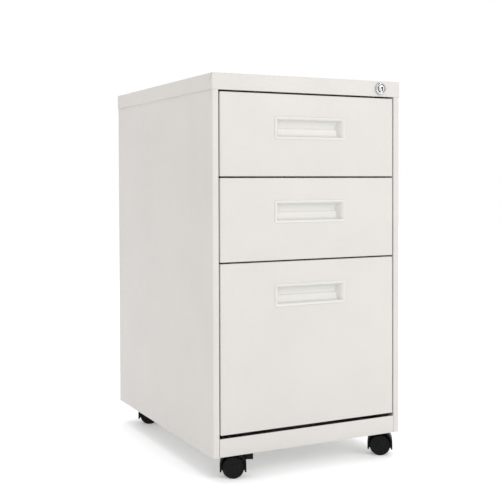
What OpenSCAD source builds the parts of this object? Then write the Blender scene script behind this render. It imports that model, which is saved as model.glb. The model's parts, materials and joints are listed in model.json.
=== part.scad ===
// Mobile pedestal file cabinet: two box drawers over one file drawer, a gang lock
// in the top rail and four hooded twin-wheel casters.
// Millimetres. +Z is up, the floor is z = 0, the drawers open towards -Y and
// +X is to the right of someone who faces the drawers.

/* [Case] */
// Width across the side panels
case_w = 378; // [370:1:400]
// Depth from the front flanges to the back flanges
case_d = 480; // [475:1:520]
// Height of the top of the cap above the floor
overall_h = 692; // [690:1:720]
// Height of the bottom edge of the case above the floor
case_z = 45; // [45:1:50]
// Thickness of the case's sheet steel
sheet = 1.0; // [0.8:0.1:1.2]
// Height of the rim that turns down around the cap
cap_rim = 28; // [27:1:30]
// Width of the side panels' front flanges
flange_w = 12; // [12:0.5:14]
// Height of the rail below the file drawer
rail_h = 31; // [28:1:34]

/* [Drawers] */
// Gap between a drawer front and the flange beside it
side_gap = 2; // [1.5:0.5:3]
// Gap between the cap's rim and the top drawer front
top_gap = 3; // [2:0.5:4]
// Gap between two drawer fronts
mid_gap = 2.5; // [2:0.5:4]
// Gap between the file drawer front and the bottom rail
low_gap = 5.5; // [3:0.5:7]
// Height of each box drawer front
box_front_h = 142.5; // [140:0.5:146]
// Depth of a drawer front, from its face to its rear flange
front_depth = 18; // [17.5:0.5:18]
// Length of a drawer body behind its front
body_len = 435; // [420:5:435]

/* [Pulls] */
// Width of the pull's rim
pull_w = 142; // [120:2:160]
// Height of the pull's rim
pull_h = 39; // [34:1:40]
// Distance from a drawer front's top edge to the top of its pull
pull_drop = 39; // [36:1:44]
// Depth of the finger recess behind the drawer's face
pull_depth = 12.5; // [12:0.5:15.5]

/* [Lock] */
// Distance of the lock's centre from the cabinet's middle
lock_x = 147; // [140:1:150]
// Radius of the lock's bezel
bezel_r = 11; // [10:0.5:11.5]
// How far the plug stands out of the cap's rim
lock_proud = 6; // [4:0.5:7]
// Radius of the crank that lifts the lock bar
crank_r = 8; // [7.5:0.5:8]

/* [Casters] */
// Radius of a wheel
wheel_r = 19; // [17:0.5:19]
// Width of one wheel
wheel_w = 10; // [8:0.5:11]
// Half of the hood's width, seen from the side
hood_r = 23; // [22.5:0.5:24]
// Distance from the stem's axis back to the axle
trail = 15.5; // [12:0.5:15.5]
// Distance of a stem from the outside of the side panel
stem_in_x = 36.5; // [36.5:0.5:40]
// Distance of a stem from the front or back of the case
stem_in_y = 35.5; // [35.5:0.5:60]
// Angle that the casters have swivelled to, on average
caster_turn = -27.5; // [-180:0.5:180]

/* [Hidden] */
// Places in names: drawers from the top down, casters front then rear
DRAWERS = ["top", "middle", "file"];
CORNERS = ["front_left", "front_right", "rear_left", "rear_right"];
// The corners whose casters have a brake pedal
PEDALS = [0, 2];
// How far each caster has settled away from the average angle
SETTLED = [1.5, -7, 7, 0];
function drawer_node(part, i) = str(part, "_", DRAWERS[i]);
function caster_node(part, i) = str(part, "_", CORNERS[i]);

// The case's planes. The lock stands out at the front and the cap's rim at the
// back, and the frame's origin is midway between those two ends.
half_w = case_w / 2;
front_y = -(case_d - lock_proud) / 2;
back_y = front_y + case_d;
cap_under = overall_h - sheet;
mouth_top = overall_h - cap_rim;
rail_top = case_z + rail_h;
flange_x = half_w - flange_w;
return_d = 18;
back_panel_y = back_y - 2 * sheet;
bottom_flange = 7;

// The drawer fronts' top and bottom edges
front_half_w = flange_x - side_gap;
front_top = [
  mouth_top - top_gap,
  mouth_top - top_gap - box_front_h - mid_gap,
  mouth_top - top_gap - 2 * (box_front_h + mid_gap)
];
front_low = [front_top[0] - box_front_h, front_top[1] - box_front_h, rail_top + low_gap];

// Telescopic slides between the uprights and the drawer bodies
slide_t = 12.7;
slide_wall = 1.2;
slide_x = flange_x - sheet;
slide_len = body_len - 5;
slide_y = front_y + front_depth + 2;
slide_z = [front_low[0] + 35, front_low[1] + 35, front_low[2] + 110];
outer_h = 44;
mid_h = 38.8;
inner_h = 32;

// Drawer bodies
body_half_w = slide_x - slide_t;
body_y = front_y + front_depth;
body_low_gap = 8;
body_top_gap = 22;
front_flange = 30;
hem = 5;
function body_low(i) = front_low[i] + body_low_gap;
function body_top(i) = front_top[i] - body_top_gap;

// Uprights that carry the slides
upright_w = 30;
upright_y = [front_y + 35, back_y - 75];

// Lock
lock_z = overall_h - cap_rim / 2;
barrel_r = 9.4;
barrel_len = 20;
plug_r = 6.5;
running = 0.05;
bezel_h = lock_proud - sheet;
cam_t = 2;
cam_y = front_y + barrel_len + 2;
pin_r = 2;
pin_len = 5;
crank_start = 45;
pin_x = lock_x + crank_r * cos(crank_start);
pin_z = lock_z + crank_r * sin(crank_start);
slot_play = 0.35;
bar_x = 180;
bar_t = 2.5;
bar_y = front_y + 20;
bar_w = 12;
hook_h = 8;
hook_t = 2.5;
hook_drop = 28.5;
hook_x = body_half_w + 2.7;
catch_h = 8;
catch_drop = 38;
catch_reach = 8.7;
catch_y = front_y + 26;
bar_low_z = front_top[2] - hook_drop - 8;
guide_z = [front_top[0] - 70, front_top[1] - 95];

// Casters
plate_z = case_z + 6.5;
plate_t = 1.5;
stem_r = 5;
hood_top = 47;
hood_low = 12;
hood_cz = hood_top - hood_r;
hood_wall = 3;
hood_half_y = 15;
web_half = 3.5;
wheel_gap = 0.5;
axle_r = 2.5;
pedal_x = trail + 12.5;
pedal_z = 38;
pedal_half_y = 7;
pocket_low = 28;
cheek_low = 35.8;
wheel_cap = 2.4;
stem_x = half_w - stem_in_x;
stem_y = [front_y + stem_in_y, back_y - stem_in_y];
STEMS = [[-stem_x, stem_y[0]], [stem_x, stem_y[0]], [-stem_x, stem_y[1]], [stem_x, stem_y[1]]];

paint = [0.89, 0.88, 0.86];
zinc = [0.72, 0.73, 0.75];
chrome = [0.82, 0.83, 0.85];
black = [0.06, 0.06, 0.065];
pull_white = [0.87, 0.87, 0.84];

// A box given by its low and high limits along each axis
module slab(x, y, z) {
  translate([x[0], y[0], z[0]]) cube([x[1] - x[0], y[1] - y[0], z[1] - z[0]]);
}

// The child, and its mirror image on the left
module both_sides() {
  children();
  mirror([1, 0, 0]) children();
}

// A round bar along +Y from a starting point
module rod_y(r, from, len, sides = 64) {
  translate(from) rotate([-90, 0, 0]) cylinder(r = r, h = len, $fn = sides);
}

// A rectangle with round corners, centred on the origin
module round_rect(w, h, r) {
  for (x = [-1, 1]) for (y = [-1, 1])
    translate([x * (w / 2 - r), y * (h / 2 - r)]) circle(r = r, $fn = 48);
  square([w - 2 * r, h], center = true);
  square([w, h - 2 * r], center = true);
}

// An X-Z outline pushed back along +Y from y = 0
module push_back(depth) {
  translate([0, depth, 0]) rotate([90, 0, 0]) linear_extrude(height = depth) children();
}

// ---- Case ----

// One sheet folded at the front, back and bottom edges
module side_panel() {
  z = [case_z, cap_under];
  slab([half_w - sheet, half_w], [front_y, back_y], z);
  slab([flange_x, half_w], [front_y, front_y + sheet], z);
  slab([flange_x, flange_x + sheet], [front_y, front_y + return_d], z);
  slab([flange_x, half_w], [back_y - sheet, back_y], z);
  slab([half_w - bottom_flange, half_w], [front_y, back_y], [case_z, case_z + sheet]);
}

module side_panel_left() {
  color(paint) mirror([1, 0, 0]) side_panel();
}

module side_panel_right() {
  color(paint) side_panel();
}

module back_panel() {
  color(paint)
    slab([-half_w + sheet, half_w - sheet], [back_panel_y, back_panel_y + sheet],
         [case_z + sheet, cap_under]);
}

// The cap wraps over the case; its front rim is the top rail and holds the lock
module top_cap() {
  over = half_w + sheet;
  lip_z = [mouth_top, mouth_top + sheet];
  color(paint) difference() {
    union() {
      slab([-over, over], [front_y - sheet, back_y + sheet], [cap_under, overall_h]);
      slab([-over, over], [front_y - sheet, front_y], [mouth_top, overall_h]);
      slab([-over, over], [back_y, back_y + sheet], [mouth_top, overall_h]);
      both_sides() slab([half_w, over], [front_y - sheet, back_y + sheet], [mouth_top, overall_h]);
      slab([-flange_x + sheet, flange_x - sheet], [front_y - sheet, front_y + 14], lip_z);
    }
    rod_y(barrel_r + 0.1, [lock_x, front_y - 2 * sheet, lock_z], 3 * sheet);
  }
}

// Shallow pan that carries the casters, with its rims turned down. It reaches
// forward between the side panels' folded front edges.
module bottom_pan() {
  x = half_w - bottom_flange - 0.2;
  tongue_x = flange_x - 0.5;
  y = [front_y + return_d + 0.5, back_panel_y];
  tongue_y = [front_y + 2 * sheet, y[0]];
  rim_z = [case_z + sheet, plate_z + plate_t];
  color(paint) difference() {
    union() {
      slab([-x, x], y, [plate_z, plate_z + plate_t]);
      slab([-tongue_x, tongue_x], tongue_y, [plate_z, plate_z + plate_t]);
      slab([-tongue_x, tongue_x], [tongue_y[0], tongue_y[0] + plate_t], rim_z);
      slab([-x, x], [y[1] - plate_t, y[1]], rim_z);
      both_sides() slab([x - plate_t, x], y, rim_z);
    }
    for (p = STEMS)
      translate([p[0], p[1], plate_z - 1]) cylinder(r = stem_r + 0.1, h = plate_t + 2, $fn = 64);
  }
}

// Rail below the file drawer, set between the side flanges and hemmed along both edges
module bottom_rail() {
  x = flange_x - 0.3;
  color(paint) {
    slab([-x, x], [front_y, front_y + sheet], [case_z, rail_top]);
    slab([-x, x], [front_y, front_y + 2 * sheet], [rail_top - 8, rail_top]);
    slab([-x, x], [front_y, front_y + 2 * sheet], [case_z, case_z + 7]);
  }
}

// Two channel posts on one side, open towards the side panel
module uprights() {
  z = [plate_z + plate_t, cap_under];
  x = [slide_x, half_w - sheet];
  for (y = upright_y) {
    slab([x[0], x[0] + slide_wall], [y, y + upright_w], z);
    slab(x, [y, y + slide_wall], z);
    slab(x, [y + upright_w - slide_wall, y + upright_w], z);
  }
}

module uprights_left() {
  color(zinc) mirror([1, 0, 0]) uprights();
}

module uprights_right() {
  color(zinc) uprights();
}

// Steel slab at the back of the pan that stops an open drawer tipping the case
module counterweight() {
  top = front_low[2] - 6;
  color(zinc) slab([-135, 135], [back_y - 95, back_y - 8], [plate_z + plate_t, top]);
}

// ---- Slides ----

// A channel section along a slide: web at web_x, lips reaching to lip_x
module channel(web_x, lip_x, h, i) {
  y = [slide_y, slide_y + slide_len];
  lo = slide_z[i] - h / 2;
  hi = slide_z[i] + h / 2;
  x = [min(web_x[0], lip_x), max(web_x[1], lip_x)];
  slab(web_x, y, [lo, hi]);
  slab(x, y, [lo, lo + slide_wall]);
  slab(x, y, [hi - slide_wall, hi]);
}

module slide_outer(i) {
  color(zinc) both_sides()
    channel([slide_x - slide_wall, slide_x], slide_x - 11, outer_h, i);
}

module slide_mid(i) {
  color(zinc) both_sides()
    channel([slide_x - 3.2, slide_x - 2], slide_x - 9.5, mid_h, i);
}

module slide_inner(i) {
  color(zinc) both_sides()
    channel([body_half_w, body_half_w + slide_wall], slide_x - 4.7, inner_h, i);
}

// ---- Drawers ----

// Drawer front: a face with folded edges and rear flanges, open for the pull
module drawer_front(i) {
  x = front_half_w;
  y = [front_y, front_y + front_depth];
  z = [front_low[i], front_top[i]];
  color(paint) difference() {
    slab([-x, x], y, z);
    slab([-x + sheet, x - sheet], [y[0] + sheet, y[1] - sheet], [z[0] + sheet, z[1] - sheet]);
    slab([-x + front_flange, x - front_flange], [y[0] + 2 * sheet, y[1] + sheet],
         [z[0] + front_flange, z[1] - front_flange]);
    translate([0, front_y - sheet, pull_z(i)])
      push_back(3 * sheet) square([pull_w - 6, pull_h - 6], center = true);
  }
}

function pull_z(i) = front_top[i] - pull_drop - pull_h / 2;

// Drawer body: bottom, sides and inner front folded from one sheet
module drawer_body(i) {
  y = [body_y, body_y + body_len];
  z = [body_low(i), body_top(i)];
  color(paint) {
    slab([-body_half_w, body_half_w], y, [z[0], z[0] + sheet]);
    slab([-body_half_w, body_half_w], [y[0], y[0] + sheet], z);
    both_sides() {
      slab([body_half_w - sheet, body_half_w], y, z);
      slab([body_half_w - hem, body_half_w], y, [z[1] - sheet, z[1]]);
    }
  }
}

module drawer_back(i) {
  x = body_half_w - sheet;
  y = body_y + body_len;
  color(paint)
    slab([-x, x], [y - 2 * sheet, y - sheet], [body_low(i) + sheet, body_top(i) - sheet]);
}

// Steps of the recess from its upper lip down to its lower lip: depth, height
function scoop(steps = 10) = concat(
  [[-2, pull_h / 2 - 5], [3, pull_h / 2 - 5]],
  [for (k = [1:steps]) [3 + (pull_depth - 3) * sin(90 * k / steps),
                        (pull_h / 2 - 5) * cos(90 * k / steps)]],
  [[pull_depth - 2.5, -0.6], [pull_depth - 4, -pull_h / 2 + 6],
   [pull_depth - 6, -pull_h / 2 + 5], [-2, -pull_h / 2 + 5]]
);

// Recessed finger pull: a rim that laps the face and a cup behind it
module drawer_pull(i) {
  rim_t = 1.2;
  cup_w = pull_w - 6.4;
  cup_h = pull_h - 6.4;
  hollow_w = pull_w - 10;
  color(pull_white) translate([0, front_y, pull_z(i)]) difference() {
    union() {
      translate([0, -rim_t, 0]) push_back(rim_t) round_rect(pull_w, pull_h, 4);
      push_back(front_depth - sheet - 0.3) square([cup_w, cup_h], center = true);
    }
    translate([-hollow_w / 2, 0, 0]) rotate([90, 0, 90])
      linear_extrude(height = hollow_w) polygon(scoop());
  }
}

// Bent tab on the drawer body that the lock bar's hook blocks
module drawer_catch(i) {
  z = [front_top[i] - catch_drop - catch_h / 2, front_top[i] - catch_drop + catch_h / 2];
  color(zinc) {
    slab([body_half_w, body_half_w + 1.5], [catch_y, catch_y + 20], z);
    slab([body_half_w, body_half_w + catch_reach], [catch_y, catch_y + 2], z);
  }
}

// Rails that hanging folders hook over, along both sides of the file drawer
module hang_rails() {
  x = body_half_w - 8.3;
  top = body_top(2);
  color(zinc) both_sides()
    slab([x, x + 2], [body_y + sheet, body_y + body_len - 2 * sheet], [top - 14, top + 2]);
}

// ---- Lock ----

module lock_housing() {
  bore = plug_r + running;
  color(chrome) translate([lock_x, front_y - lock_proud, lock_z]) rotate([-90, 0, 0])
    rotate_extrude($fn = 96)
      polygon([[bore, 0.6], [bore + 0.6, 0], [bezel_r - 1.8, 0], [bezel_r, 1.8],
               [bezel_r, bezel_h], [barrel_r, bezel_h],
               [barrel_r, lock_proud + barrel_len], [bore, lock_proud + barrel_len]]);
}

// Spring clip that holds the barrel against the back of the rim
module lock_clip() {
  r = 12.4;
  color(zinc) difference() {
    rod_y(r, [lock_x, front_y, lock_z], 1.4);
    rod_y(barrel_r, [lock_x, front_y - 1, lock_z], 4);
    slab([lock_x - barrel_r, lock_x + barrel_r], [front_y - 1, front_y + 3],
         [lock_z - r - 1, lock_z]);
  }
}

// Plug with its keyway, shown unlocked
module lock_plug() {
  nose = 1;
  tip = front_y - lock_proud - nose;
  color(chrome) difference() {
    rod_y(plug_r, [lock_x, tip, lock_z], cam_y - tip);
    rod_y(1.7, [lock_x, tip - 1, lock_z + 1], 14, 32);
    translate([lock_x, tip - 1, lock_z + 1]) rotate([0, -12, 0])
      slab([-0.8, 0.8], [0, 14], [-5, 0]);
  }
}

// Crank plate on the back of the plug, with the pin that moves the bar
module lock_cam() {
  color(zinc) {
    rod_y(5.5, [lock_x, cam_y, lock_z], cam_t);
    rod_y(3.6, [pin_x, cam_y, pin_z], cam_t);
    translate([lock_x, cam_y, lock_z]) rotate([0, -crank_start, 0])
      slab([0, crank_r], [0, cam_t], [-3.6, 3.6]);
    rod_y(pin_r, [pin_x, cam_y, pin_z], cam_t + pin_len);
  }
}

// Bar inside the right-hand channel: a slotted arm at the lock and a hook per drawer
module lock_bar() {
  arm_y = cam_y + cam_t + 1;
  arm_half = 6;
  slot_half = pin_r + slot_play;
  slot_x = [pin_x - pin_r - 0.6, lock_x + crank_r + pin_r + 0.6];
  color(zinc) difference() {
    union() {
      slab([bar_x, bar_x + bar_t], [bar_y, bar_y + bar_w], [bar_low_z, pin_z + arm_half]);
      slab([slot_x[0] - 2, bar_x + bar_t], [arm_y, arm_y + bar_t],
           [pin_z - arm_half, pin_z + arm_half]);
      for (top = front_top)
        slab([hook_x, bar_x + bar_t], [bar_y + 1, bar_y + 1 + hook_t],
             [top - hook_drop - hook_h / 2, top - hook_drop + hook_h / 2]);
    }
    slab(slot_x, [arm_y - 1, arm_y + bar_t + 1], [pin_z - slot_half, pin_z + slot_half]);
  }
}

// Square loops on the side panel that the bar slides through
module lock_bar_guides() {
  play = 0.4;
  wall = 1.2;
  in_x = [bar_x - play, half_w - sheet];
  in_y = [bar_y - play, bar_y + bar_w + play];
  color(zinc) for (z = guide_z) difference() {
    slab([in_x[0] - wall, in_x[1]], [in_y[0] - wall, in_y[1] + wall], [z - 6, z + 6]);
    slab([in_x[0], in_x[1] - wall], in_y, [z - 7, z + 7]);
  }
}

// ---- Casters ----

// Puts a caster's own frame (stem on Z, axle along Y, trail towards +X) at a corner
module at_caster(i) {
  translate([STEMS[i][0], STEMS[i][1], 0]) rotate([0, 0, caster_turn + SETTLED[i]]) children();
}

// The hood's outline seen along the axle, drawn in by an amount and cut off below low_z
module hood_outline(in, low_z) {
  r = hood_r - in;
  translate([trail, 0]) {
    intersection() {
      translate([0, hood_cz]) circle(r = r, $fn = 96);
      translate([-r, low_z]) square([2 * r, hood_cz + r - low_z]);
    }
    translate([-r, low_z]) square([2 * r, hood_cz - low_z]);
  }
}

module hood_slice(half_y, in, low_z) {
  translate([0, -half_y, 0]) push_back(2 * half_y) hood_outline(in, low_z);
}

// Hood: a fender over both wheels, a web between them and a boss for the stem.
// A pedal hood has a pocket at its trailing side with two cheeks and a pivot.
module caster_hood(i) {
  pedal = (i == PEDALS[0] || i == PEDALS[1]);
  pocket_x = [pedal_x - 4.5, trail + hood_r + 5];
  cheek_x = [pedal_x - 2.5, pocket_x[1]];
  boss_z = [39, plate_z - 1.5];
  color(black) at_caster(i) difference() {
    union() {
      difference() {
        union() {
          difference() {
            hood_slice(hood_half_y, 0, hood_low);
            translate([0, 0, -1]) hood_slice(hood_half_y + 1, hood_wall, hood_low - 1);
          }
          hood_slice(web_half, 0, hood_low);
          translate([0, 0, boss_z[0]]) cylinder(r = 8.5, h = boss_z[1] - boss_z[0], $fn = 64);
          if (pedal) intersection() {
            hood_slice(pedal_half_y + 3.5, 0, hood_low);
            slab(cheek_x, [-hood_half_y, hood_half_y], [cheek_low, hood_top]);
          }
        }
        if (pedal)
          slab(pocket_x, [-pedal_half_y - 0.5, pedal_half_y + 0.5], [pocket_low, 43.2]);
      }
      if (pedal) rod_y(1.5, [pedal_x, -pedal_half_y - 2, pedal_z], 2 * pedal_half_y + 4, 32);
    }
    translate([0, 0, 40]) cylinder(r = stem_r + running, h = 20, $fn = 64);
    rod_y(axle_r, [trail, -hood_half_y - 1, wheel_r], 2 * hood_half_y + 2);
  }
}

// Axle through the hood's web. Its ends stop inside the wheels.
module caster_axle(i) {
  end = web_half + wheel_gap + wheel_w - wheel_cap - 0.2;
  color(zinc) at_caster(i) rod_y(axle_r, [trail, -end, wheel_r], 2 * end);
}

// Wheel with a round tread, a shallow dish on its outer face and a closed hub
module caster_wheel(i, side) {
  inner = web_half + wheel_gap;
  outer = inner + wheel_w;
  bore = axle_r + running;
  round_over = 1.5;
  color(black) at_caster(i) translate([trail, 0, wheel_r])
    rotate([side > 0 ? -90 : 90, 0, 0]) rotate_extrude($fn = 96)
      polygon([[bore, inner], [wheel_r - round_over, inner], [wheel_r, inner + round_over],
               [wheel_r, outer - round_over], [wheel_r - round_over, outer],
               [wheel_r - 4, outer], [wheel_r - 5, outer - 1], [6, outer - 1], [5.4, outer],
               [0, outer], [0, outer - wheel_cap], [bore, outer - wheel_cap]]);
}

// Brake pedal: a hub on the hood's pivot and a foot plate with a thick end
module brake_pedal(i) {
  top = pedal_z + 2.3;
  foot_x = [pedal_x + 9.5, pedal_x + 22];
  color(black) at_caster(i) difference() {
    union() {
      rod_y(3.4, [pedal_x, -pedal_half_y, pedal_z], 2 * pedal_half_y);
      slab([pedal_x, foot_x[1] - 1], [-pedal_half_y, pedal_half_y], [pedal_z - 2.2, top]);
      slab(foot_x, [-pedal_half_y, pedal_half_y], [pedal_z - 6, top]);
    }
    rod_y(1.5 + running, [pedal_x, -pedal_half_y - 1, pedal_z], 2 * pedal_half_y + 2, 32);
  }
}

module caster_stems() {
  color(zinc) for (p = STEMS) translate([p[0], p[1], 0]) {
    translate([0, 0, 41]) cylinder(r = stem_r, h = plate_z + plate_t + 9 - 41, $fn = 64);
    translate([0, 0, plate_z - 1.1]) cylinder(r = 9, h = 1.1, $fn = 64);
  }
}

module caster_nuts() {
  color(zinc) for (p = STEMS) translate([p[0], p[1], plate_z + plate_t])
    difference() {
      cylinder(r = 9, h = 7, $fn = 6);
      translate([0, 0, -1]) cylinder(r = stem_r, h = 9, $fn = 64);
    }
}

side_panel_left();
side_panel_right();
back_panel();
top_cap();
bottom_pan();
bottom_rail();
uprights_left();
uprights_right();
counterweight();
lock_housing();
lock_clip();
lock_plug();
lock_cam();
lock_bar();
lock_bar_guides();
caster_stems();
caster_nuts();
hang_rails();
for (i = [0:2]) {
  drawer_front(i);
  drawer_body(i);
  drawer_back(i);
  drawer_pull(i);
  drawer_catch(i);
  slide_outer(i);
  slide_mid(i);
  slide_inner(i);
}
for (i = [0:3]) {
  caster_hood(i);
  caster_axle(i);
  caster_wheel(i, -1);
  caster_wheel(i, 1);
}
for (i = PEDALS)
  brake_pedal(i);
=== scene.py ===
"""Looks for the three-drawer pedestal file cabinet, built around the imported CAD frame.

Every piece is placed from the CAD nodes' own boxes, in metres, in the row frame:
+Z up, floor at z = 0, drawers opening towards -Y.
"""
import json
import math

import bmesh
import bpy
from mathutils import Matrix, Vector


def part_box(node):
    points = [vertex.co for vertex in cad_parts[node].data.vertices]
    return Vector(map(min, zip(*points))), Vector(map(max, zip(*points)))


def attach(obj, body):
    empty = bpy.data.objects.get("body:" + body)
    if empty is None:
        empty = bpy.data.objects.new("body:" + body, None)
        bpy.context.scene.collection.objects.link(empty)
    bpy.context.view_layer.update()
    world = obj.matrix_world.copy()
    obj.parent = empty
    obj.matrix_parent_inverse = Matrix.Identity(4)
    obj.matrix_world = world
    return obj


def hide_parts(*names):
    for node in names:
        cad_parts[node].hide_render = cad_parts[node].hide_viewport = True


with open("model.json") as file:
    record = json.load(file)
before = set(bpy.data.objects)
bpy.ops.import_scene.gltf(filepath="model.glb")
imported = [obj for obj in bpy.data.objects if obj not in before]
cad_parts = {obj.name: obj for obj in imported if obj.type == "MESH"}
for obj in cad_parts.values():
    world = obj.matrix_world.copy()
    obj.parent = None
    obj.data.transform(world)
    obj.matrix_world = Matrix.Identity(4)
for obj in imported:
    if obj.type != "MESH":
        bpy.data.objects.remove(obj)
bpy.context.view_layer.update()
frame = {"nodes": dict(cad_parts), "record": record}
SCENE = bpy.context.scene
NODES = frame["nodes"]
RECORD = frame["record"]
BODY_OF = {n: b for b, ns in RECORD["behaviour"]["bodies"].items() for n in ns}
SLOT_OF = {s["node"]: s["material_slot"] for s in RECORD["subparts"]}
DRAWERS = ("top", "middle", "file")
CORNERS = ("front_left", "front_right", "rear_left", "rear_right")
AXLES = {c: next(j["axis"] for j in RECORD["behaviour"]["joints"] if j["name"] == "roll_far_" + c)
         for c in CORNERS}
LOCK = sum(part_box("lock_plug"), Vector()) / 2
MM = 0.001
# Thickness of the sheet steel, outer radius of its folds, and rounding of its cut edges
SHEET = 1.0 * MM
FOLD = 1.9 * MM
CUT_EDGE = 0.2 * MM


# ---- Camera, floor and light ----

# Place in metres; azimuth, pitch and roll in degrees; lens and sensor in millimetres
CAMERA_PLACE = (-0.836, -1.661, 0.510)
CAMERA_TURN = (-26.73, 1.22, -0.17)
LENS = 67.54
SENSOR = 36
LENS_SHIFT = -0.0972
# Place, target, size in metres and power in watts
LAMPS = {
    "key": ((0.9, -2.6, 1.9), (0, -0.2, 0.35), (1.8, 1.4), 30),
    "overhead": ((0, 0.1, 2.6), (0, 0, 0), (2.2, 2.2), 30),
    "glint": ((1.3, -1.9, 0.88), LOCK, (0.5, 0.5), 0.6),
}
FLAG_LOW = (-0.25, -0.70, 1.68)
FLAG_HIGH = (0.45, 0.10, 1.70)
FLOOR_RADIUS = 9


def make_camera():
    """The camera of a product shot: left of the cabinet's front and above its middle."""
    azimuth, pitch, roll = (math.radians(a) for a in CAMERA_TURN)
    back = Vector((math.sin(azimuth) * math.cos(pitch),
                   -math.cos(azimuth) * math.cos(pitch), math.sin(pitch)))
    level = Vector((math.cos(azimuth), math.sin(azimuth), 0))
    upright = back.cross(level)
    right = level * math.cos(roll) + upright * math.sin(roll)
    up = upright * math.cos(roll) - level * math.sin(roll)
    data = bpy.data.cameras.new("camera")
    data.lens = LENS
    data.sensor_width = SENSOR
    data.shift_y = LENS_SHIFT
    cam = bpy.data.objects.new("camera", data)
    turned = Matrix((right, up, back)).transposed().to_4x4()
    cam.matrix_world = Matrix.Translation(CAMERA_PLACE) @ turned
    SCENE.collection.objects.link(cam)
    SCENE.camera = cam


def make_lamp(name, place, target, size, power):
    """A soft box that faces its target."""
    data = bpy.data.lights.new(name, "AREA")
    data.shape = "RECTANGLE"
    data.size, data.size_y = size
    data.energy = power
    lamp = bpy.data.objects.new(name, data)
    lamp.location = place
    lamp.rotation_mode = "QUATERNION"
    lamp.rotation_quaternion = (Vector(target) - Vector(place)).to_track_quat("-Z", "Y")
    SCENE.collection.objects.link(lamp)


def make_studio():
    """Pale floor, white surround, soft boxes, and a black card that the chrome mirrors."""
    world = bpy.data.worlds.new("studio")
    world.use_nodes = True
    backdrop = world.node_tree.nodes["Background"]
    backdrop.inputs["Color"].default_value = (1, 1, 1, 1)
    backdrop.inputs["Strength"].default_value = 1.0
    SCENE.world = world
    for name, settings in LAMPS.items():
        make_lamp(name, *settings)
    flag = block("dark_flag", FLAG_LOW, FLAG_HIGH, 2 * MM)
    flag.data.materials.append(flag_material())
    bm = bmesh.new()
    bmesh.ops.create_circle(bm, cap_ends=True, radius=FLOOR_RADIUS, segments=96)
    floor = object_from(bm, "studio_floor")
    floor.data.materials.append(floor_material())


# ---- Materials ----

class Shader:
    """A small builder around one material's node tree."""

    def __init__(self, name, colour, **settings):
        self.material = bpy.data.materials.new(name)
        self.material.use_nodes = True
        self.nodes = self.material.node_tree.nodes
        self.links = self.material.node_tree.links
        self.bsdf = self.nodes["Principled BSDF"]
        self.bsdf.inputs["Base Color"].default_value = (*colour, 1)
        self.material.diffuse_color = (*colour, 1)
        for key, value in settings.items():
            self.bsdf.inputs[key.replace("_", " ")].default_value = value
        self.coord = self.nodes.new("ShaderNodeTexCoord").outputs["Object"]

    def node(self, kind, **inputs):
        """A new node with its inputs linked to sockets or set to values."""
        made = self.nodes.new(kind)
        for key, value in inputs.items():
            socket = made.inputs[key.replace("_", " ")]
            if hasattr(value, "is_output"):
                self.links.new(value, socket)
            else:
                socket.default_value = value
        return made

    def stretched(self, scale):
        """Object coordinates, scaled by a different amount along each axis."""
        return self.node("ShaderNodeMapping", Vector=self.coord, Scale=scale).outputs[0]

    def noise(self, scale, detail=2.0, roughness=0.5, vector=None):
        return self.node("ShaderNodeTexNoise", Vector=vector or self.coord, Scale=scale,
                         Detail=detail, Roughness=roughness).outputs["Fac"]

    def cells(self, scale, feature="F1"):
        made = self.node("ShaderNodeTexVoronoi", Vector=self.coord, Scale=scale)
        made.feature = feature
        return made

    def grey(self, factor, low, high, start=0.3, end=0.7):
        """A factor remapped to a range of plain numbers."""
        made = self.node("ShaderNodeMapRange", Value=factor)
        for key, value in zip(("From Min", "From Max", "To Min", "To Max"), (start, end, low, high)):
            made.inputs[key].default_value = value
        return made.outputs["Result"]

    def mix(self, factor, a, b):
        """Colour a where the factor is 0 and colour b where it is 1."""
        made = self.nodes.new("ShaderNodeMix")
        made.data_type = "RGBA"
        factor_in, first_colour, second_colour, colour_out = 0, 6, 7, 2
        for index, value in ((factor_in, factor), (first_colour, a), (second_colour, b)):
            socket = made.inputs[index]
            if hasattr(value, "is_output"):
                self.links.new(value, socket)
            else:
                socket.default_value = (*value, 1) if isinstance(value, tuple) else value
        return made.outputs[colour_out]

    def colour(self, socket):
        self.links.new(socket, self.bsdf.inputs["Base Color"])

    def roughness(self, socket):
        self.links.new(socket, self.bsdf.inputs["Roughness"])

    def bump(self, *layers):
        """Stacks bump layers, each (height socket, depth in metres, strength)."""
        normal = None
        for height, depth, strength in layers:
            made = self.node("ShaderNodeBump", Height=height, Distance=depth, Strength=strength)
            if normal:
                self.links.new(normal, made.inputs["Normal"])
            normal = made.outputs["Normal"]
        self.links.new(normal, self.bsdf.inputs["Normal"])


def tinted(colour, factor):
    """A colour made lighter or darker."""
    return tuple(min(1, c * factor) for c in colour)


def powder_coat(name="powder_coat", colour=(0.562, 0.536, 0.512)):
    """Off-white powder coat: fine orange peel, faint mottling and small specks."""
    s = Shader(name, colour, Roughness=0.5, IOR=1.5)
    mottle = s.noise(9, 3)
    cloud = s.noise(2.2, 2)
    body = s.mix(s.grey(mottle, 0, 1), tinted(colour, 0.975), tinted(colour, 1.015))
    body = s.mix(s.grey(cloud, 0, 0.35), body, (0.562, 0.543, 0.52))
    speck = s.grey(s.noise(1400, 1), 0, 0.16, 0.58, 0.72)
    s.colour(s.mix(speck, body, tinted(colour, 0.86)))
    s.roughness(s.grey(s.noise(240, 2), 0.40, 0.56))
    peel = s.cells(420, "SMOOTH_F1").outputs["Distance"]
    s.bump((peel, 0.0005, 0.3), (s.noise(1500, 2), 0.00012, 0.4))
    return s.material


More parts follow.
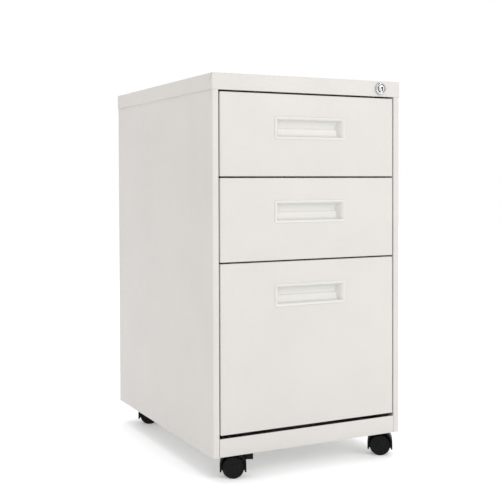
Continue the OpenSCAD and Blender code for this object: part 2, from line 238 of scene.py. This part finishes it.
def zinc_steel(name="zinc_plate", colour=(0.62, 0.63, 0.65)):
    """Bright zinc plate on rolled steel: drawn lines along Y and a faint spangle."""
    s = Shader(name, colour, Metallic=1.0, Roughness=0.34)
    lines = s.noise(1, 3, vector=s.stretched((900, 25, 900)))
    spangle = s.cells(95).outputs["Color"]
    tone = s.mix(s.grey(lines, 0, 1), tinted(colour, 0.88), tinted(colour, 1.1))
    tone = s.mix(s.grey(spangle, 0, 0.25, 0, 1), tone, tinted(colour, 0.8))
    s.colour(s.mix(s.grey(s.noise(14, 2), 0, 0.3), tone, (0.60, 0.60, 0.55)))
    s.roughness(s.grey(lines, 0.26, 0.42))
    s.bump((lines, 0.00003, 0.3))
    return s.material


def plated_chrome(name="bright_chrome", colour=(0.60, 0.61, 0.62)):
    """Nickel-chrome plate with light key scratches."""
    s = Shader(name, colour, Metallic=1.0, Roughness=0.12)
    scratch = s.noise(1, 2, vector=s.stretched((2600, 300, 900)))
    s.colour(s.mix(s.grey(scratch, 0, 1, 0.35, 0.7), tinted(colour, 0.93), tinted(colour, 1.05)))
    s.roughness(s.grey(s.noise(500, 3), 0.06, 0.16))
    s.bump((scratch, 0.00001, 0.15))
    return s.material


def pull_plastic(name="moulded_plastic", colour=(0.606, 0.597, 0.570)):
    """Moulded plastic close to the paint's colour, a touch greener, with a spark-eroded grain."""
    s = Shader(name, colour, Roughness=0.42, IOR=1.46)
    grain = s.noise(1900, 3)
    flow = s.noise(1, 2, vector=s.stretched((8, 60, 60)))
    tone = s.mix(s.grey(flow, 0, 1), tinted(colour, 0.98), tinted(colour, 1.02))
    s.colour(s.mix(s.grey(grain, 0, 0.1), tone, tinted(colour, 0.9)))
    s.roughness(s.grey(grain, 0.34, 0.52))
    s.bump((grain, 0.00004, 0.3))
    return s.material


def black_nylon(name="black_nylon", colour=(0.006, 0.006, 0.0066)):
    """Glass-filled black nylon: a fine matt grain with brighter scuffs."""
    s = Shader(name, colour, Roughness=0.42, Specular_IOR_Level=0.1)
    grain = s.noise(1300, 3)
    scuff = s.grey(s.noise(1, 4, vector=s.stretched((60, 60, 260))), 0, 0.5, 0.6, 0.8)
    s.colour(s.mix(scuff, colour, (0.016, 0.016, 0.0165)))
    s.roughness(s.grey(grain, 0.3, 0.5))
    s.bump((grain, 0.00005, 0.3))
    return s.material


def wheel_tread(name="hard_tread", colour=(0.007, 0.007, 0.0074)):
    """Hard black tread with a film of floor dust caught in its grain."""
    s = Shader(name, colour, Roughness=0.5, Specular_IOR_Level=0.1)
    dust = s.grey(s.noise(180, 5, 0.65), 0, 0.5, 0.56, 0.78)
    s.colour(s.mix(dust, colour, (0.018, 0.0175, 0.017)))
    s.roughness(s.grey(s.noise(700, 3), 0.36, 0.62))
    s.bump((s.noise(900, 3), 0.00006, 0.3))
    return s.material


def floor_material():
    """Pale light-table floor with a barely visible tooth, so shadows stay soft and faint."""
    s = Shader("studio_floor", (0.8, 0.8, 0.8), Roughness=0.75, Emission_Color=(0.97, 0.99, 1, 1),
               Emission_Strength=0.26)
    s.colour(s.mix(s.grey(s.noise(3, 3), 0, 1), (0.795, 0.8, 0.8), (0.805, 0.81, 0.81)))
    s.bump((s.noise(500, 2), 0.0001, 0.1))
    return s.material


def flag_material():
    """Matt black cloth for the card."""
    s = Shader("flag_cloth", (0.01, 0.01, 0.01), Roughness=0.9)
    s.colour(s.mix(s.grey(s.noise(300, 2), 0, 1), (0.008, 0.008, 0.008), (0.014, 0.014, 0.014)))
    return s.material


def make_materials():
    """One material for each of the record's material slots."""
    return {
        "cabinet_paint": powder_coat(),
        "zinc_steel": zinc_steel(),
        "lock_chrome": plated_chrome(),
        "pull_plastic": pull_plastic(),
        "caster_nylon": black_nylon(),
        "wheel_tread": wheel_tread(),
    }


# ---- Mesh tools ----

def object_from(bm, name):
    """A linked object from a bmesh, with its faces turned outwards."""
    mesh = bpy.data.meshes.new(name)
    bmesh.ops.recalc_face_normals(bm, faces=bm.faces)
    bm.to_mesh(mesh)
    bm.free()
    made = bpy.data.objects.new(name, mesh)
    SCENE.collection.objects.link(made)
    return made


def shade(obj, angle=35):
    """Smooth shading that keeps edges sharper than the angle."""
    mesh = obj.data
    mesh.polygons.foreach_set("use_smooth", [True] * len(mesh.polygons))
    mesh.set_sharp_from_angle(angle=math.radians(angle))


def soften(obj, width, segments=2, angle=35):
    """A bevel along the piece's sharp edges."""
    bevel = obj.modifiers.new("soft_edges", "BEVEL")
    bevel.width = width
    bevel.segments = segments
    bevel.limit_method = "ANGLE"
    bevel.angle_limit = math.radians(angle)
    bevel.harden_normals = False


def settle(obj):
    """Applies the piece's modifiers to its mesh."""
    graph = bpy.context.evaluated_depsgraph_get()
    settled = bpy.data.meshes.new_from_object(obj.evaluated_get(graph))
    obj.modifiers.clear()
    obj.data = settled
    return obj


def carve(obj, *cutters):
    """Cuts the cutters out of the piece and removes them."""
    for cutter in cutters:
        cut = obj.modifiers.new("cut", "BOOLEAN")
        cut.operation = "DIFFERENCE"
        cut.solver = "EXACT"
        cut.object = cutter
        settle(obj)
        bpy.data.objects.remove(cutter)
    return obj


def join(name, parts):
    """One object from several, with each part's own modifiers applied."""
    bm = bmesh.new()
    for part in parts:
        settle(part)
        part.data.transform(part.matrix_world)
        bm.from_mesh(part.data)
        bpy.data.objects.remove(part)
    return object_from(bm, name)


def block(name, low, high, width=0.0, segments=2):
    """A box between two corners, with its edges rounded."""
    bm = bmesh.new()
    bmesh.ops.create_cube(bm, size=1)
    low, high = Vector(low), Vector(high)
    size = high - low
    for v in bm.verts:
        v.co = low + Vector([(v.co[k] + 0.5) * size[k] for k in range(3)])
    if width:
        bmesh.ops.bevel(bm, geom=bm.edges[:], offset=width, segments=segments, profile=0.5,
                        affect="EDGES", clamp_overlap=True)
    return object_from(bm, name)


def turn(points, centre, start, end, steps):
    """Adds to points an arc round a centre, from one point to another, the short way."""
    a = math.atan2(start.y - centre.y, start.x - centre.x)
    b = math.atan2(end.y - centre.y, end.x - centre.x)
    span = (b - a + math.pi) % (2 * math.pi) - math.pi
    radius = (start - centre).length
    for k in range(steps + 1):
        angle = a + span * k / steps
        points.append(centre + Vector((radius * math.cos(angle), radius * math.sin(angle))))


def fillet(points, radii, steps=4, closed=False):
    """Rounds a polyline's corners, each with its own radius."""
    made = []
    count = len(points)
    for i, p in enumerate(points):
        ends = not closed and i in (0, count - 1)
        if ends or radii[i] <= 0:
            made.append(p)
            continue
        before = (points[i - 1] - p).normalized()
        after = (points[(i + 1) % count] - p).normalized()
        half = before.angle(after) / 2
        reach = radii[i] / math.tan(half)
        centre = p + (before + after).normalized() * radii[i] / math.sin(half)
        turn(made, centre, p + before * reach, p + after * reach, steps)
    return made


def offset_line(points, distance):
    """The polyline moved sideways to the left of its direction."""
    made = []
    for i, p in enumerate(points):
        sides = []
        if i > 0:
            sides.append((p - points[i - 1]).normalized())
        if i < len(points) - 1:
            sides.append((points[i + 1] - p).normalized())
        normals = [Vector((-d.y, d.x)) for d in sides]
        if len(normals) == 1:
            made.append(p + normals[0] * distance)
        else:
            bisector = (normals[0] + normals[1]).normalized()
            made.append(p + bisector * distance / bisector.dot(normals[0]))
    return made


def folded_outline(points, thickness=SHEET, radius=FOLD, steps=4):
    """The closed outline of a folded sheet: its face runs along the points, its back to their left."""
    points = [Vector(p) for p in points]
    bends = []
    for i in range(len(points)):
        if i in (0, len(points) - 1):
            bends.append((0, 0))
            continue
        a, b = points[i] - points[i - 1], points[i + 1] - points[i]
        left_turn = a.x * b.y - a.y * b.x > 0
        bends.append((radius, radius - thickness) if left_turn else (radius - thickness, radius))
    face = fillet(points, [b[0] for b in bends], steps)
    back = fillet(offset_line(points, thickness), [b[1] for b in bends], steps)
    return face + back[::-1]


# Where an outline's two coordinates and its level along each axis go
AXES = {
    "x": lambda a, b, level: (level, a, b),
    "y": lambda a, b, level: (a, level, b),
    "z": lambda a, b, level: (a, b, level),
}


def sweep(name, outline, axis, low, high, width=0.0):
    """Pushes a closed outline along an axis: (y, z) along x, (x, z) along y, (x, y) along z."""
    place = AXES[axis]
    bm = bmesh.new()
    ends = [[bm.verts.new(place(p[0], p[1], level)) for p in outline] for level in (low, high)]
    bm.faces.new(ends[0])
    bm.faces.new(ends[1])
    count = len(outline)
    for i in range(count):
        k = (i + 1) % count
        bm.faces.new((ends[0][i], ends[0][k], ends[1][k], ends[1][i]))
    made = object_from(bm, name)
    if width:
        soften(made, width)
        settle(made)
    return made


def pan(name, low, high, open_side):
    """A folded tray with rounded edges, open on one side: "-z" for a cap, "+y" for a front."""
    bm = bmesh.new()
    bmesh.ops.create_cube(bm, size=1)
    low, high = Vector(low), Vector(high)
    for v in bm.verts:
        v.co = Vector([low[k] + (v.co[k] + 0.5) * (high[k] - low[k]) for k in range(3)])
    sign = -1 if open_side[0] == "-" else 1
    axis = "xyz".index(open_side[1])
    bm.normal_update()
    away = [f for f in bm.faces if f.normal[axis] * sign > 0.9]
    bmesh.ops.delete(bm, geom=away, context="FACES_ONLY")
    folds = [e for e in bm.edges if len(e.link_faces) == 2]
    bmesh.ops.bevel(bm, geom=folds, offset=FOLD, segments=4, profile=0.5, affect="EDGES")
    made = object_from(bm, name)
    shell = made.modifiers.new("sheet", "SOLIDIFY")
    shell.thickness = SHEET
    shell.offset = -1
    shell.use_even_offset = True
    return settle(made)


def ring_plate(name, outer, inner, y):
    """A flat frame across Y: outer and inner are (low x, low z, high x, high z)."""
    made = block(name, (outer[0], y, outer[1]), (outer[2], y + SHEET, outer[3]))
    hole = block("hole", (inner[0], y - SHEET, inner[1]), (inner[2], y + 2 * SHEET, inner[3]))
    return carve(made, hole)


def lathe(name, profile, centre, axis, segments=72):
    """Turns a profile of (radius, height) pairs, in millimetres, round an axis through centre."""
    axis = Vector(axis).normalized()
    across = axis.orthogonal().normalized()
    other = axis.cross(across)
    centre = Vector(centre)
    nothing = 1e-7
    bm = bmesh.new()
    rings = []
    for radius, height in profile:
        radius, height = radius * MM, height * MM
        if radius < nothing:
            rings.append([bm.verts.new(centre + axis * height)] * segments)
            continue
        ring = []
        for k in range(segments):
            angle = 2 * math.pi * k / segments
            spoke = across * math.cos(angle) + other * math.sin(angle)
            ring.append(bm.verts.new(centre + axis * height + spoke * radius))
        rings.append(ring)
    for a, b in zip(rings, rings[1:]):
        for k in range(segments):
            n = (k + 1) % segments
            corners = list(dict.fromkeys((a[k], a[n], b[n], b[k])))
            if len(corners) > 2:
                bm.faces.new(corners)
    bmesh.ops.remove_doubles(bm, verts=bm.verts, dist=nothing)
    return object_from(bm, name)


def dress(obj, nodes, slot=None, angle=35):
    """Gives a new piece its material and its body, and hides the CAD nodes that it stands for."""
    nodes = [nodes] if isinstance(nodes, str) else nodes
    slot = slot or SLOT_OF[nodes[0]]
    obj.data.materials.clear()
    obj.data.materials.append(MATERIALS[slot])
    shade(obj, angle)
    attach(obj, BODY_OF[nodes[0]])
    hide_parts(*nodes)


def dress_cad_nodes():
    """Material, welded seams and small rounded edges for the CAD nodes that stay."""
    for name, obj in NODES.items():
        obj.data.materials.clear()
        obj.data.materials.append(MATERIALS[SLOT_OF[name]])
        shade(obj)
        if obj.hide_render:
            continue
        weld = obj.modifiers.new("weld", "WELD")
        weld.merge_threshold = 0.01 * MM
        rounding = 0.6 * MM if SLOT_OF[name] == "caster_nylon" else 0.25 * MM
        soften(obj, rounding, 3, 40)


# ---- Case ----

def make_cap():
    """Cap with a relief slit at each front corner, a bore for the lock and a lip under its rim."""
    low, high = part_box("top_cap")
    cap = pan("cap_shell", low, high, "-z")
    slit_half, slit_length, slit_drop = 0.65 * MM, 15 * MM, 1.6 * MM
    slit_tilt = math.radians(35)
    slits = []
    for sign in (-1, 1):
        slit = block("slit", (-2 * SHEET, -slit_half, -slit_length), (2 * SHEET, slit_half, 0))
        slit.data.transform(Matrix.Rotation(slit_tilt, 4, "X"))
        slit.data.transform(Matrix.Translation((sign * high.x, low.y + SHEET, high.z - slit_drop)))
        slits.append(slit)
    bore_r = 9.5
    bore = lathe("bore", [(0, -10), (bore_r, -10), (bore_r, 10), (0, 10)],
                 (LOCK.x, low.y, LOCK.z), (0, 1, 0), 48)
    carve(cap, bore, *slits)
    lip_half, lip_depth = 176 * MM, 15 * MM
    lip = block("lip", (-lip_half, low.y + SHEET, low.z),
                (lip_half, low.y + lip_depth, low.z + SHEET), CUT_EDGE)
    dress(join("cap_shell", [cap, lip]), "top_cap")


def make_sides():
    """Side sheets folded at the front, back and foot, with spot welds down the rear flange."""
    front_return = 18 * MM
    foot_width = 7 * MM
    weld_count, first_weld, weld_pitch, weld_inset = 8, 40 * MM, 80 * MM, 6 * MM
    for side, sign in (("left", -1), ("right", 1)):
        node = "side_panel_" + side
        low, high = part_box(node)
        outer = max(abs(low.x), abs(high.x))
        flange = outer - 12 * MM
        line = [(flange, low.y + front_return), (flange, low.y), (outer, low.y), (outer, high.y),
                (flange, high.y)]
        outline = folded_outline(line)
        if sign < 0:
            outline = [Vector((-p.x, p.y)) for p in outline]
        wall = sweep("wall", outline, "z", low.z, high.z)
        foot_x = sorted((sign * (outer - foot_width), sign * (outer - SHEET)))
        foot = block("foot", (foot_x[0], low.y + 2 * SHEET, low.z),
                     (foot_x[1], high.y - 2 * SHEET, low.z + SHEET), CUT_EDGE)
        dimples = []
        for k in range(weld_count):
            spot = (sign * (outer - weld_inset), high.y, low.z + first_weld + weld_pitch * k)
            dimples.append(lathe("dimple", [(0, -0.3), (2, -0.25), (3, 0), (3, 0.5), (0, 0.5)],
                                 spot, (0, 1, 0), 24))
        carve(wall, join("dimples", dimples))
        dress(join("side_sheet_" + side, [wall, foot]), node)


def make_rail():
    """Both edges of the rail are hems: the sheet folded flat against its own back."""
    low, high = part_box("bottom_rail")
    lap, lower_hem, upper_hem = 0.25 * MM, 7 * MM, 8 * MM
    face = block("face", (low.x - lap, low.y, low.z), (high.x, low.y + SHEET, high.z), CUT_EDGE)
    hems = []
    for edge_low, edge_high in ((low.z, low.z + lower_hem), (high.z - upper_hem, high.z)):
        hems.append(block("hem", (low.x, low.y + SHEET, edge_low),
                          (high.x, low.y + 2 * SHEET, edge_high), 0.3 * MM))
    dress(join("rail_fold", [face, *hems]), "bottom_rail")


def make_back():
    """Flat rear sheet."""
    low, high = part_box("back_panel")
    dress(block("sheet", low, high, CUT_EDGE), "back_panel")


# ---- Drawers ----

def make_front(drawer):
    """Front pan with an opening for the pull, closed at the rear by a flanged frame."""
    node = "drawer_front_" + drawer
    low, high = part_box(node)
    pull_low, pull_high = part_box("drawer_pull_" + drawer)
    tray = pan("tray", low, (high.x, high.y - SHEET, high.z), "+y")
    inset = 3 * MM
    mouth = block("mouth", (pull_low.x + inset, low.y - SHEET, pull_low.z + inset),
                  (pull_high.x - inset, low.y + 2 * SHEET, pull_high.z - inset))
    carve(tray, mouth)
    edge = 0.6 * MM
    flange = 30 * MM
    rear = ring_plate("rear", (low.x + edge, low.z + edge, high.x - edge, high.z - edge),
                      (low.x + flange, low.z + flange, high.x - flange, high.z - flange),
                      high.y - SHEET)
    dress(join("front_pan_" + drawer, [tray, rear]), node)


def rounded_rect(width, height, radius, steps=6):
    """Points round a rectangle with round corners, centred on the origin."""
    signs = ((-1, -1), (1, -1), (1, 1), (-1, 1))
    corners = [Vector((sx * width / 2, sy * height / 2)) for sx, sy in signs]
    return fillet(corners, [radius] * 4, steps, closed=True)


def bridge_rings(bm, rings):
    """Faces between each ring of vertices and the next, with the two end rings capped."""
    for a, b in zip(rings, rings[1:]):
        count = len(a)
        for k in range(count):
            n = (k + 1) % count
            bm.faces.new((a[k], a[n], b[n], b[k]))
    bm.faces.new(rings[0])
    bm.faces.new(rings[-1])


# Width of a pull's rim, and how far the rim stands out of the drawer's face
PULL_RIM = 5 * MM
PULL_PROUD = 1.2 * MM


def pull_moulding(name, centre, width, height, face, back):
    """Solid moulding: a thin domed rim round a cup that reaches back from the face."""
    cup = 3.2
    corner = 4
    section = [(cup, (back - face) / MM), (cup, 0), (0, 0), (0, -0.5), (0.25, -0.95), (0.7, -1.2),
               (1.2, -1.2), (1.8, -1.05), (2.6, -0.6), (3.4, -0.1), (4.2, 0.6), (PULL_RIM / MM, 1.5)]
    bm = bmesh.new()
    rings = []
    for inset, y in section:
        outline = rounded_rect(width - 2 * inset * MM, height - 2 * inset * MM,
                               (corner - inset / 2) * MM)
        rings.append([bm.verts.new((p.x + centre.x, face + y * MM, p.y + centre.z)) for p in outline])
    bridge_rings(bm, rings)
    return object_from(bm, name)


def pull_scoop(centre, width, height, face):
    """Cutter for the finger recess: an arched roof over a grip ledge, between tapered ends."""
    half_h = height / 2 - PULL_RIM
    half_w = width / 2 - PULL_RIM
    lip = 1.4 * MM
    deepest = 12.5 * MM
    taper = 0.8
    steps = 12
    profile = [(-MM, half_h)]
    for k in range(steps + 1):
        angle = math.pi / 2 * k / steps
        profile.append((lip + (deepest - lip) * math.sin(angle), half_h * math.cos(angle)))
    profile += [(deepest - 0.5 * MM, -0.7 * MM), (deepest - 2.2 * MM, -1.1 * MM),
                (deepest - 3.2 * MM, -half_h + 3.2 * MM), (deepest - 4.2 * MM, -half_h + 1.3 * MM),
                (deepest - 6.2 * MM, -half_h + 0.2 * MM), (deepest - 8 * MM, -half_h), (-MM, -half_h)]
    bm = bmesh.new()
    ends = []
    for sign in (-1, 1):
        end = []
        for y, z in profile:
            x = centre.x + sign * (half_w - taper * (y - lip))
            end.append(bm.verts.new((x, face + y, centre.z + z)))
        ends.append(end)
    bridge_rings(bm, ends)
    return object_from(bm, "scoop")


def make_pull(drawer):
    """Recessed pull: the moulding with its scoop cut out."""
    node = "drawer_pull_" + drawer
    low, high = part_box(node)
    centre = (low + high) / 2
    width, height = high.x - low.x, high.z - low.z
    face = low.y + PULL_PROUD
    moulding = pull_moulding("pull_moulding_" + drawer, centre, width, height, face, high.y)
    dress(carve(moulding, pull_scoop(centre, width, height, face)), node, angle=50)


def make_body(drawer):
    """Drawer box: one folded sheet for the bottom and sides, its inner front and its floor ribs."""
    node = "drawer_body_" + drawer
    low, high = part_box(node)
    hem = 5 * MM
    line = [(low.x + hem, high.z), (low.x, high.z), (low.x, low.z), (high.x, low.z),
            (high.x, high.z), (high.x - hem, high.z)]
    trough = sweep("trough", folded_outline(line), "y", low.y, high.y)
    front = block("front", (low.x + SHEET, low.y, low.z + SHEET),
                  (high.x - SHEET, low.y + SHEET, high.z - SHEET), CUT_EDGE)
    rib_count, rib_inset, rib_half, rib_rise = 5, 22 * MM, 3 * MM, 0.9 * MM
    ribs = []
    for k in range(1, rib_count + 1):
        y = low.y + (high.y - low.y) * k / (rib_count + 1)
        ribs.append(block("rib", (low.x + rib_inset, y - rib_half, low.z + SHEET),
                          (high.x - rib_inset, y + rib_half, low.z + SHEET + rib_rise), 0.8 * MM, 3))
    dress(join("body_sheet_" + drawer, [trough, front, *ribs]), node)


def make_drawer_back(drawer):
    """Rear wall of a drawer box, with a lip folded forwards along its top."""
    low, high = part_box("drawer_back_" + drawer)
    lip_inset, lip_reach = 2 * MM, 9 * MM
    wall = block("wall", low, high)
    lip = block("lip", (low.x + lip_inset, low.y - lip_reach, high.z - SHEET),
                (high.x - lip_inset, low.y, high.z))
    back = join("back_sheet_" + drawer, [wall, lip])
    soften(back, 0.25 * MM)
    dress(settle(back), "drawer_back_" + drawer)


# Plane that the slides mount on, to each side of the middle
SLIDE_PLANE = 176 * MM
# Distances in millimetres of each member's web and of its lips' edges from that plane
SLIDES = {"slide_outer": (0, 11), "slide_mid": (2, 9.5), "slide_inner": (12.7, 4.7)}


def make_slide(member, drawer):
    """One member of a slide pair: a rolled channel with oblong holes, or with rivets on the inner one."""
    node = member + "_" + drawer
    low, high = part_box(node)
    middle = (low.z + high.z) / 2
    web, lip = (v * MM for v in SLIDES[member])
    spots = [low.y + (high.y - low.y) * k for k in (0.08, 0.34, 0.66, 0.92)]
    gauge, bend = 1.2 * MM, 2.2 * MM
    rivet_head = [(0, 0.9), (1.4, 0.8), (2.4, 0.45), (2.8, 0), (2.8, -0.4), (0, -0.4)]
    parts = []
    for sign in (-1, 1):
        start, end = sign * (SLIDE_PLANE - web), sign * (SLIDE_PLANE - lip)
        line = [(end, low.z), (start, low.z), (start, high.z), (end, high.z)]
        if start < end:
            line.reverse()
        parts.append(sweep("rail", folded_outline(line, gauge, bend), "y", low.y, high.y, 0.15 * MM))
        if member == "slide_inner":
            for y in spots:
                spot = (start + sign * gauge, y, middle)
                parts.append(lathe("rivet", rivet_head, spot, (sign, 0, 0), 32))
    channel = join("rolled_" + node, parts)
    if member != "slide_inner":
        hole_length, hole_height, hole_corner = 15 * MM, 6 * MM, 2.9 * MM
        beyond = SLIDE_PLANE + 4 * MM
        holes = []
        for y in spots:
            oblong = rounded_rect(hole_length, hole_height, hole_corner)
            outline = [(p.x + y, p.y + middle) for p in oblong]
            holes.append(sweep("hole", outline, "x", -beyond, beyond))
        carve(channel, *holes)
    dress(channel, node)


# ---- Lock and casters ----

def make_lock():
    """Bezel with a rolled shoulder and a dished seat, a plug with its keyway, and a black block in the
    keyway as painted shade.
    """
    spot = (LOCK.x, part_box("top_cap")[0].y, LOCK.z)
    forward = (0, -1, 0)
    bezel_profile = [(10.3, 0), (10.3, 0.7), (10.95, 0.9), (11, 2.7), (10.85, 3.05), (8.95, 4.9),
                     (8.6, 5), (8.2, 4.9), (7.9, 4.4), (7.7, 3.2), (7.6, -1.0), (6.58, -1.2),
                     (6.58, -20), (9.4, -20), (9.4, 0), (10.3, 0)]
    dress(lathe("lock_bezel", bezel_profile, spot, forward, 96), "lock_housing", angle=50)
    plug_profile = [(0, 6), (5.2, 6), (5.8, 5.85), (6.25, 5.5), (6.5, 5), (6.5, -20.9), (0, -20.9)]
    plug = lathe("lock_face", plug_profile, spot, forward, 96)
    key_r, key_depth, tail_half, tail_length = 2.1, 8, 1.15 * MM, 5.6 * MM
    key_tilt = math.radians(-14)
    key_centre = (LOCK.x, spot[1], LOCK.z + 1.2 * MM)
    keyhole = lathe("keyhole", [(0, -key_depth), (key_r, -key_depth), (key_r, key_depth), (0, key_depth)],
                    key_centre, forward, 40)
    tail = block("tail", (-tail_half, -key_depth * MM, -tail_length), (tail_half, key_depth * MM, 0))
    tail.data.transform(Matrix.Rotation(key_tilt, 4, "Y"))
    tail.data.transform(Matrix.Translation(key_centre))
    dress(carve(plug, keyhole, tail), "lock_plug", angle=40)
    # A black block just behind the plug's face, inside the keyway: painted shade that darkens the keyhole
    keyhole_shade_block = block("painted_keyhole_shade", (LOCK.x - 3.6 * MM, spot[1] - 3.6 * MM, LOCK.z - 5 * MM),
                    (LOCK.x + 3.2 * MM, spot[1] - 2.8 * MM, LOCK.z + 4 * MM), 0.3 * MM)
    dress(keyhole_shade_block, "lock_plug", "caster_nylon")


def make_wheel(side, corner):
    """Twin-wheel caster wheel: crowned tread with a mould line, dished web and hub cap."""
    node = "caster_wheel_" + side + "_" + corner
    low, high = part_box(node)
    axis = Vector(AXLES[corner]) * (-1 if side == "near" else 1)
    r = (high.z - low.z) / 2 / MM
    profile = [(2.6, -5), (r - 1.6, -5), (r - 0.6, -4.6), (r - 0.1, -3.6), (r, -2), (r, -0.35),
               (r - 0.25, 0), (r, 0.35), (r, 2), (r - 0.1, 3.6), (r - 0.6, 4.6), (r - 1.6, 5),
               (r - 3.2, 5), (r - 3.7, 4.8), (r - 4.4, 4.15), (12, 4), (11.6, 4.25), (11, 4.25),
               (10.6, 4), (7, 4), (6.2, 4.2), (5.8, 4.7), (5.1, 5), (1.4, 5), (1.1, 4.6), (0, 4.5),
               (0, 2.6), (2.6, 2.6), (2.6, -5)]
    dress(lathe("wheel_" + side + "_" + corner, profile, (low + high) / 2, axis, 96), node)


# ---- The model ----

make_camera()
MATERIALS = make_materials()
make_studio()
make_cap()
make_sides()
make_rail()
make_back()
make_lock()
for drawer_name in DRAWERS:
    make_front(drawer_name)
    make_pull(drawer_name)
    make_body(drawer_name)
    make_drawer_back(drawer_name)
    for member_name in SLIDES:
        make_slide(member_name, drawer_name)
for corner_name in CORNERS:
    make_wheel("near", corner_name)
    make_wheel("far", corner_name)
dress_cad_nodes()
SCENE.view_settings.view_transform = "Standard"
